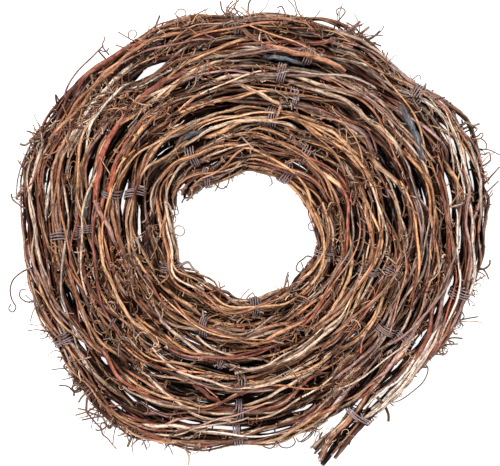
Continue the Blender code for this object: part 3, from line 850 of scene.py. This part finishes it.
def tube_mesh(name, stems, bevel_resolution):
    """A mesh of round stems, drawn as bevelled curves, with the tint, darkened by painted shade away from
    each stem's lit side, and the bark place of each point.
    """
    bpy.ops.object.select_all(action="DESELECT")
    bpy.ops.curve.primitive_nurbs_path_add(location=(0, 0, 0))
    drawn = bpy.context.object
    drawn.name = name
    curve = drawn.data
    curve.splines.clear()
    curve.dimensions = "3D"
    curve.bevel_depth = MM
    curve.bevel_resolution = bevel_resolution
    for stem in stems:
        spline = curve.splines.new("POLY")
        spline.points.add(len(stem.points) - 1)
        corners = np.column_stack((stem.points * MM, np.ones(len(stem.points))))
        spline.points.foreach_set("co", corners.ravel())
        spline.points.foreach_set("radius", stem.radii)
    bpy.ops.object.convert(target="MESH")
    mesh = bpy.context.object.data
    mesh.name = name

    rings = sum(len(stem.points) for stem in stems)
    sides = len(mesh.vertices) // rings
    if sides * rings != len(mesh.vertices):
        raise RuntimeError(f"{name} has {len(mesh.vertices)} points for {rings} rings")
    chance = random.Random(len(stems))
    tints = np.vstack([stem.tints for stem in stems])
    girths = np.concatenate([stem.radii for stem in stems])
    shifts = [[chance.uniform(0, 900) for _ in range(3)] for _ in stems]
    shifts = np.repeat(shifts, [len(stem.points) for stem in stems], axis=0)
    runs = np.concatenate([stem.lengths() for stem in stems])
    turns = np.tile(np.arange(sides) * math.tau / sides, rings)
    place = np.repeat(shifts, sides, axis=0)
    place[:, 0] += np.cos(turns) * np.repeat(girths, sides)
    place[:, 1] += np.sin(turns) * np.repeat(girths, sides)
    place[:, 2] += np.repeat(runs, sides)
    corners = np.empty(sides * rings * 3)
    mesh.vertices.foreach_get("co", corners)
    middles = np.repeat(np.vstack([stem.points for stem in stems]), sides, axis=0)
    offsets = corners.reshape(-1, 3) / MM - middles
    lit_sides = np.repeat(np.vstack([stem.lit_side for stem in stems]), sides, axis=0)
    # Painted shade: each point keeps less of its tint the further it turns from its stem's lit side
    facing = np.sum(offsets * lit_sides, axis=1) / np.maximum(np.linalg.norm(offsets, axis=1), 1e-4)
    light = BACK_LIGHT + (1 - BACK_LIGHT) * smooth_step(facing, -0.45, 0.75)
    colours = np.column_stack((in_shade(np.repeat(tints, sides, axis=0), light), np.ones(sides * rings)))
    # The tint holds the stem's own colour and its painted shade
    mesh.attributes.new("vine_tint_and_shade", "FLOAT_COLOR", "POINT").data.foreach_set("color", colours.ravel())
    mesh.attributes.new("bark_place", "FLOAT_VECTOR", "POINT").data.foreach_set("vector", place.ravel())
    bpy.ops.object.mode_set(mode="EDIT")
    bpy.ops.mesh.select_all(action="SELECT")
    bpy.ops.mesh.remove_doubles(threshold=0.002 * MM)
    bpy.ops.object.mode_set(mode="OBJECT")
    return bpy.context.object


def joined(name, *parts):
    """Several meshes made one, under a new name."""
    bpy.ops.object.select_all(action="DESELECT")
    for part in parts:
        part.select_set(True)
    bpy.context.view_layer.objects.active = parts[0]
    if len(parts) > 1:
        bpy.ops.object.join()
    piece = bpy.context.object
    piece.name = name
    piece.data.name = name
    bpy.ops.object.shade_smooth_by_angle(angle=math.radians(70))
    return piece


class Value:
    """A shader socket that can be reckoned with: each sum or product adds its Math node."""

    def __init__(self, shader, socket):
        self.shader = shader
        self.socket = socket

    def math(self, operation, *values):
        return self.shader.add("ShaderNodeMath", {"operation": operation}, dict(enumerate(values)))

    def __add__(self, other):
        return self.math("ADD", self, other)

    __radd__ = __add__

    def __sub__(self, other):
        return self.math("SUBTRACT", self, other)

    def __rsub__(self, other):
        return self.math("SUBTRACT", other, self)

    def __mul__(self, other):
        return self.math("MULTIPLY", self, other)

    __rmul__ = __mul__

    def above(self, low, high):
        """0 where the value is under low, 1 where it is over high, and smooth between."""
        sockets = {"Value": self, "From Min": low, "From Max": high}
        return self.shader.add("ShaderNodeMapRange", {"interpolation_type": "SMOOTHSTEP"}, sockets)


class Shader:
    """The nodes of a material."""

    def __init__(self, name):
        self.material = bpy.data.materials.new(name)
        self.material.use_nodes = True
        self.tree = self.material.node_tree
        self.surface = self.tree.nodes["Principled BSDF"]

    def add(self, kind, settings, sockets, output=0):
        """Adds a node with its settings and what feeds its sockets, and gives one of its outputs."""
        node = self.tree.nodes.new(kind)
        for name, setting in settings.items():
            setattr(node, name, setting)
        for key, value in sockets.items():
            self.feed(node.inputs[key], value)
        return Value(self, node.outputs[output])

    def feed(self, socket, value):
        if isinstance(value, Value):
            self.tree.links.new(value.socket, socket)
        else:
            socket.default_value = value

    def attribute(self, name, output):
        return self.add("ShaderNodeAttribute", {"attribute_name": name}, {}, output)

    def noise(self, place, stretch, detail=2.0, roughness=0.5):
        """Noise read at a place that is first scaled along each axis."""
        stretched = self.add("ShaderNodeVectorMath", {"operation": "MULTIPLY"}, {0: place, 1: stretch})
        sockets = {"Vector": stretched, "Scale": 1.0, "Detail": detail, "Roughness": roughness}
        return self.add("ShaderNodeTexNoise", {}, sockets)

    def mix(self, factor, colour, other):
        """One colour turned into another by a factor. Inputs 6 and 7 of the node are its colours."""
        return self.add("ShaderNodeMix", {"data_type": "RGBA"}, {0: factor, 6: colour, 7: other}, 2)

    def scaled(self, colour, factor):
        """A colour made lighter or darker by a value."""
        return self.add("ShaderNodeVectorMath", {"operation": "SCALE"}, {0: colour, "Scale": factor})

    def finish(self, colour, roughness, height, strength, distance):
        """Links the colour, roughness and relief to the surface."""
        bump = self.add("ShaderNodeBump", {}, {"Height": height, "Strength": strength, "Distance": distance})
        self.feed(self.surface.inputs["Base Color"], colour)
        self.feed(self.surface.inputs["Roughness"], roughness)
        self.feed(self.surface.inputs["Normal"], bump)
        return self.material


def vine_bark():
    """Dry bark: long fibres and splits, worn pale patches, dark stains, pale flecks that are partly painted
    highlights, and a dull shine.
    """
    shader = Shader("dry vine bark")
    tint = shader.attribute("vine_tint_and_shade", "Color")
    place = shader.attribute("bark_place", "Vector")
    fibres = shader.noise(place, (2.4, 2.4, 0.16), 3.0, 0.6)
    patches = shader.noise(place, (0.35, 0.35, 0.06), 2.0)
    splits = shader.noise(place, (1.5, 1.5, 0.05), 2.0, 0.4)
    stains = shader.noise(place, (0.5, 0.5, 0.11), 3.0, 0.6)
    # Pale flecks along the bark: partly the bark's own tone, partly painted highlights; within worn patches
    # they turn it pale
    flecks_and_glints = shader.noise(place, (0.9, 0.9, 0.40), 2.0, 0.6)
    light = 0.02 + fibres * 1.2 + patches.above(0.35, 0.7) * 0.4 + flecks_and_glints.above(0.35, 0.65) * 0.55
    colour = shader.scaled(tint, light)
    worn = shader.mix(0.5, tint, (0.70, 0.61, 0.565, 1))
    colour = shader.mix(patches.above(0.54, 0.70) * flecks_and_glints.above(0.3, 0.6) * 0.6, colour, worn)
    colour = shader.mix(stains.above(0.52, 0.66) * 0.75, colour, (0.040, 0.015, 0.007, 1))
    colour = shader.mix(splits.above(0.60, 0.66) * 0.8, colour, (0.030, 0.010, 0.004, 1))
    roughness = 0.38 + fibres * 0.34
    relief = fibres * 0.5 - splits.above(0.6, 0.68)
    shader.surface.inputs["Specular IOR Level"].default_value = 0.12
    return shader.finish(colour, roughness, relief, 0.5, 0.25 * MM)


def wire_paper():
    """Twisted paper over wire: fine slanting folds and scuffed edges."""
    shader = Shader("wire paper")
    tint = shader.attribute("vine_tint_and_shade", "Color")
    place = shader.attribute("bark_place", "Vector")
    folds = shader.noise(place, (1.2, 1.2, 1.6), 2.0, 0.5)
    scuffs = shader.noise(place, (0.8, 0.8, 0.25), 3.0, 0.6)
    colour = shader.scaled(tint, 0.4 + folds * 1.1)
    colour = shader.mix(scuffs.above(0.52, 0.68) * 0.35, colour, (0.50, 0.42, 0.44, 1))
    shader.surface.inputs["Specular IOR Level"].default_value = 0.3
    return shader.finish(colour, 0.42 + scuffs * 0.2, folds, 0.4, 0.15 * MM)


def ground():
    """Plain pale ground with the faintest mottle."""
    shader = Shader("pale ground")
    place = shader.add("ShaderNodeTexCoord", {}, {}, "Object")
    mottle = shader.noise(place, (3.0, 3.0, 3.0), 2.0)
    colour = shader.mix(mottle, (0.42, 0.42, 0.42, 1), (0.44, 0.44, 0.435, 1))
    shader.surface.inputs["Emission Color"].default_value = (1, 1, 1, 1)
    shader.surface.inputs["Emission Strength"].default_value = 0.95
    return shader.finish(colour, 0.9, mottle, 0.02, MM)


class GARLAND_OT_vines(Operator):
    """Replace each plain bunch with fine vines, their tendrils and side twigs"""

    bl_idname = "garland.vines"
    bl_label = "Vine Bunches"

    def execute(self, context):
        settings = context.scene.garland
        bark = vine_bark()
        for number in range(len(TIE_STEPS)):
            vines, growths = bunch_stems(settings, number)
            name = f"vine_bunch_{number + 1:02}"
            held = tube_mesh(name + "_vines", vines, 1)
            piece = joined(f"fine_{name}", held, tube_mesh(name + "_curls", growths, 0))
            piece.data.materials.append(bark)
            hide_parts(name)
            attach(piece, "root")
        return {"FINISHED"}


class GARLAND_OT_marked_vines(Operator):
    """Add the single vines that stand out: pale, peeled, red and smooth dark ones"""

    bl_idname = "garland.marked_vines"
    bl_label = "Marked Vines"

    def execute(self, context):
        settings = context.scene.garland
        chance = random.Random(MARKED_SEED)
        stems = []
        for finish, thickness, height, points in MARKED_VINES:
            path = smoothed(from_picture(points, height), 4.6)
            t = np.linspace(0, 1, len(path))
            path[:, 2] -= 7 * np.abs(2 * t - 1) ** 2.5
            path[:, 2] += wander(chance, t * 100, ((0.8, 60),))
            sway = [wander(chance, t * 100, ((0.5, 40), (0.3, 18))) for _ in range(2)]
            path[:, :2] += np.column_stack(sway)
            radii = thickness / 2 * (1 + wander(chance, t * 200, ((0.10, 30), (0.07, 12))))
            colour = varied(chance, getattr(settings, finish), 0.08)
            stems.append(Stem(path, radii, colour, cut=varied(chance, settings.cut_end)))
            part_at_gaps(stems[-1], ())
        piece = joined("marked_vines", tube_mesh("marked_vines", stems, 2))
        piece.data.materials.append(bpy.data.materials["dry vine bark"])
        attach(piece, "root")
        return {"FINISHED"}


class GARLAND_OT_tangles(Operator):
    """Add the knots of dry scraps that are caught in the coil"""

    bl_idname = "garland.tangles"
    bl_label = "Caught Scraps"

    def execute(self, context):
        settings = context.scene.garland
        chance = random.Random(SCRAP_SEED)
        caught = []
        for middle, spread, count in TANGLES:
            centre = from_picture([middle], 0)[0]
            rim = np.linalg.norm(centre[:2] + COIL_CENTRE[:2])
            at_rim = smooth_step(rim, *RIM_RANGE)
            centre[2] = 19 - 9 * at_rim
            caught += tangle(chance, settings, centre, spread, count, 0.85 + 0.1 * at_rim)
        strewn = []
        for _ in range(STREWN_KNOTS):
            step = np.array(np.interp(chance.uniform(TIE_LENGTHS[1], TIE_LENGTHS[-1]), TRAVELLED, PLACES))
            centre = axis_at(step) + outward_at(step) * chance.uniform(-6, 6)
            centre[2] = 19.5
            strewn += tangle(chance, settings, centre, 5, 10, 0.8)
        for name, stems in (("caught_scraps", caught), ("strewn_scraps", strewn)):
            piece = joined(name, tube_mesh(name, mostly_clear(chance, stems), 0))
            piece.data.materials.append(bpy.data.materials["dry vine bark"])
            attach(piece, "root")
        return {"FINISHED"}


class GARLAND_OT_rim_tendrils(Operator):
    """Add the tendrils, hairs and twigs that stand out of the coil's outline"""

    bl_idname = "garland.rim_tendrils"
    bl_label = "Rim Tendrils"

    def execute(self, context):
        settings = context.scene.garland
        chance = random.Random(HAIR_SEED)
        stems = []
        for thickness, points in DRAWN_TENDRILS:
            points = from_picture(points, 12.0)
            outward = unit((points[0] + COIL_CENTRE) * (1, 1, 0))
            side = 1 if np.linalg.norm(points[0] + COIL_CENTRE) > HALFWAY_OUT else -1
            inside = points[0] - HAIR_ROOT * side * outward
            path = smoothed(np.vstack((inside, points)), 1.2)
            t = np.linspace(0, 1, len(path))
            path[:, 2] += chance.uniform(-2, 4) + wander(chance, t * 60, ((1.2, 50),))
            radii = max(thickness * HAIR_GAIN / 2, THINNEST_HAIR / 2) * (1 - 0.25 * t)
            finish = chance.choice(("brown", "brown", "grey", "purple"))
            stems.append(Stem(path, radii, varied(chance, getattr(settings, finish)) * 0.6))
        piece = joined("rim_tendrils", tube_mesh("rim_tendrils", stems, 1))
        piece.data.materials.append(bpy.data.materials["dry vine bark"])
        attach(piece, "root")
        return {"FINISHED"}


class GARLAND_OT_ties(Operator):
    """Replace each plain tie with turns of paper-covered wire and its loose ends"""

    bl_idname = "garland.ties"
    bl_label = "Wire Ties"

    def execute(self, context):
        settings = context.scene.garland
        paper = wire_paper()
        for number, step in enumerate(TIE_STEPS):
            chance = random.Random(TIE_SEED + number)
            stems = tie_stems(chance, settings, np.array(step))
            name = f"wire_tie_{number + 1:02}"
            piece = joined(f"wound_{name}", tube_mesh(name, stems, 1))
            piece.data.materials.append(paper)
            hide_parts(name)
            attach(piece, "root")
        return {"FINISHED"}


def tie_stems(chance, settings, step):
    """One wire wound round the waist, slanting a little, with two loose ends."""
    reach = (settings.waist + settings.wire_thickness * 0.5) / MM + 0.2
    wraps = settings.wire_wraps + chance.choice((0, 1))
    count = wraps * 22
    turn = np.linspace(0, wraps * math.tau, count) + math.pi * 0.5 + chance.uniform(-0.6, 0.6)
    slant = chance.uniform(-3.2, 3.2)
    shift = (np.linspace(-0.5, 0.5, count) * wraps * 1.8 + slant * np.sin(turn - 0.4)
             + wander(chance, np.arange(count) * 2.0, ((0.55, 47), (0.25, 18))))
    axis = axis_at(step)
    outward = across_at(step)
    along = along_at(step)
    wide = reach * waist_width_at(np.interp(step, PLACES, TRAVELLED))
    path = axis + np.outer(np.cos(turn), outward) * wide + np.outer(shift, along)
    path[:, 2] += np.sin(turn) * reach
    ends = []
    for point, way in ((path[0], -1), (path[-1], 1)):
        side = outward * chance.uniform(-0.8, 0.8) + along * way * chance.uniform(0.2, 0.9)
        side = unit(side + np.array((0, 0, 0.5)))
        reach_out = chance.uniform(3, 6)
        bend = point + side * reach_out * 0.5
        tip = bend + unit(side + outward * chance.uniform(-0.8, 0.8)) * reach_out * 0.5
        ends.append(smoothed((point, bend, tip), 1.2)[1:])
    path = np.vstack((ends[0][::-1], path, ends[1]))
    # The wire's lit side faces away from the garland's axis; its other sides get painted shade
    away = path - axis
    away -= np.outer(away @ along, along)
    away /= np.linalg.norm(away, axis=1, keepdims=True)
    colour = varied(chance, settings.wire, 0.12)
    return [Stem(path, settings.wire_thickness / 2 / MM, colour, lit_side=away)]


class GARLAND_OT_stage(Operator):
    """Add the pale ground, the soft lights and the camera that looks straight down"""

    bl_idname = "garland.stage"
    bl_label = "Stage"

    def execute(self, context):
        bpy.ops.object.select_all(action="DESELECT")
        bpy.ops.mesh.primitive_plane_add(size=6, location=(0, 0, 0))
        floor = context.object
        floor.name = "ground"
        floor.data.materials.append(ground())
        lights = (
            ("upper_left_light", (-0.95, 1.0, 1.15), 0.55, 42.5),
            ("upper_right_light", (1.05, 0.85, 1.1), 0.5, 20.5),
            ("lower_left_light", (-1.0, -0.9, 1.05), 0.5, 14.5),
            ("lower_right_light", (0.9, -1.0, 1.1), 0.5, 15.0),
        )
        for name, place, size, power in lights:
            bpy.ops.object.light_add(type="AREA", location=place)
            light = context.object
            light.name = name
            light.data.size = size
            light.data.energy = power
            light.rotation_euler = Vector(place).to_track_quat("Z", "Y").to_euler()
        world = context.scene.world or bpy.data.worlds.new("studio")
        context.scene.world = world
        world.use_nodes = True
        sky = world.node_tree.nodes["Background"]
        sky.inputs["Color"].default_value = (1, 1, 1, 1)
        sky.inputs["Strength"].default_value = 0.05
        context.scene.view_settings.view_transform = "Standard"
        add_camera(context)
        return {"FINISHED"}


def add_camera(context):
    """A camera straight above, set so that the spiral's middle falls on its picture point."""
    width, height = PICTURE_SIZE
    middle = from_picture([(width / 2, height / 2)], AXIS_HEIGHT)[0] * MM
    place = (middle[0], middle[1], middle[2] + CAMERA_DISTANCE)
    bpy.ops.object.camera_add(location=place, rotation=(0, 0, 0))
    camera = context.object
    camera.name = "camera"
    camera.data.sensor_width = SENSOR_WIDTH
    camera.data.lens = SENSOR_WIDTH * CAMERA_DISTANCE / (width * MM_PER_PIXEL * MM)
    context.scene.camera = camera


class GARLAND_PT_panel(Panel):
    """The garland's pieces and settings"""

    bl_label = "Grapevine Garland"
    bl_idname = "GARLAND_PT_panel"
    bl_space_type = "VIEW_3D"
    bl_region_type = "UI"
    bl_category = "Garland"

    def draw(self, context):
        layout = self.layout
        for name in GarlandSettings.__annotations__:
            layout.prop(context.scene.garland, name)
        for operator in OPERATORS:
            layout.operator(operator.bl_idname)


OPERATORS = (
    GARLAND_OT_vines, GARLAND_OT_marked_vines, GARLAND_OT_tangles, GARLAND_OT_rim_tendrils, GARLAND_OT_ties,
    GARLAND_OT_stage,
)
CLASSES = (GarlandSettings, *OPERATORS, GARLAND_PT_panel)


def register():
    for cls in CLASSES:
        bpy.utils.register_class(cls)
    bpy.types.Scene.garland = PointerProperty(type=GarlandSettings)


def unregister():
    del bpy.types.Scene.garland
    for cls in reversed(CLASSES):
        bpy.utils.unregister_class(cls)


def main():
    register()
    bpy.ops.garland.vines()
    bpy.ops.garland.marked_vines()
    bpy.ops.garland.tangles()
    bpy.ops.garland.rim_tendrils()
    bpy.ops.garland.ties()
    bpy.ops.garland.stage()


if __name__ == "__main__":
    main()
